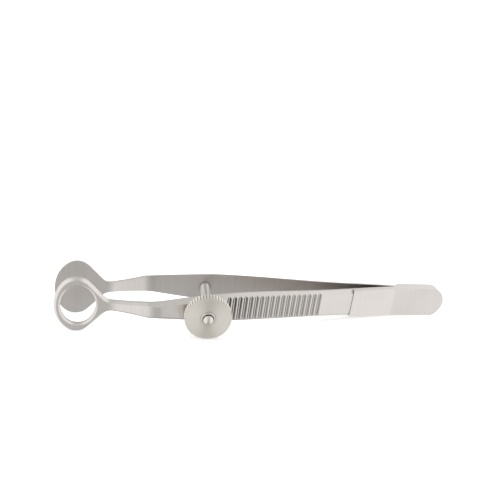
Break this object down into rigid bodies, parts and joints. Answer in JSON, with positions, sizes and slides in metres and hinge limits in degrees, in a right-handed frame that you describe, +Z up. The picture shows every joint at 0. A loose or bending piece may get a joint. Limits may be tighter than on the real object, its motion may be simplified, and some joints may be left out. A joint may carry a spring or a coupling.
{
  "type": "chalazion forceps",
  "caption": "Self-opening spring forceps with an oval plate facing an oval ring, drawn together by a knurled thumb nut on a fixed screw.",
  "frame": {"origin": "centre of the footprint, on the surface that the forceps lies on", "axes": "+X from the jaws to the heel, +Y from the ring's arm to the plate's arm, +Z up, across the arms' width"},
  "size_m": [0.0922, 0.0178, 0.013],
  "materials": {
    "satin_steel": "satin ground stainless steel",
    "screw_steel": "cut thread, bright",
    "turned_steel": "fine turned faces, knurled rim"
  },
  "bodies": {
    "plate_arm": {"plate_arm": "satin_steel", "screw_post": "screw_steel"},
    "ring_arm": {"ring_arm": "satin_steel"},
    "thumb_nut": {"thumb_nut": "turned_steel"}
  },
  "joints": [
    {"name": "squeeze", "type": "hinge", "parent": "plate_arm", "child": "ring_arm", "pos_m": [0.03328, 0.00183, 0.00395], "axis": [-0.0341, 0, -0.9994], "range_deg": [0, 4.69], "stiffness_Nm_per_rad": 3},
    {"name": "nut_travel", "type": "slide", "parent": "plate_arm", "child": "thumb_nut", "axis": [0.1027, 0.9947, -0.0035], "range_m": [0, 0.00404]}
  ],
  "couplings": [
    {"joint": "nut_travel", "follows": "squeeze", "m_per_rad": 0.0493}
  ]
}
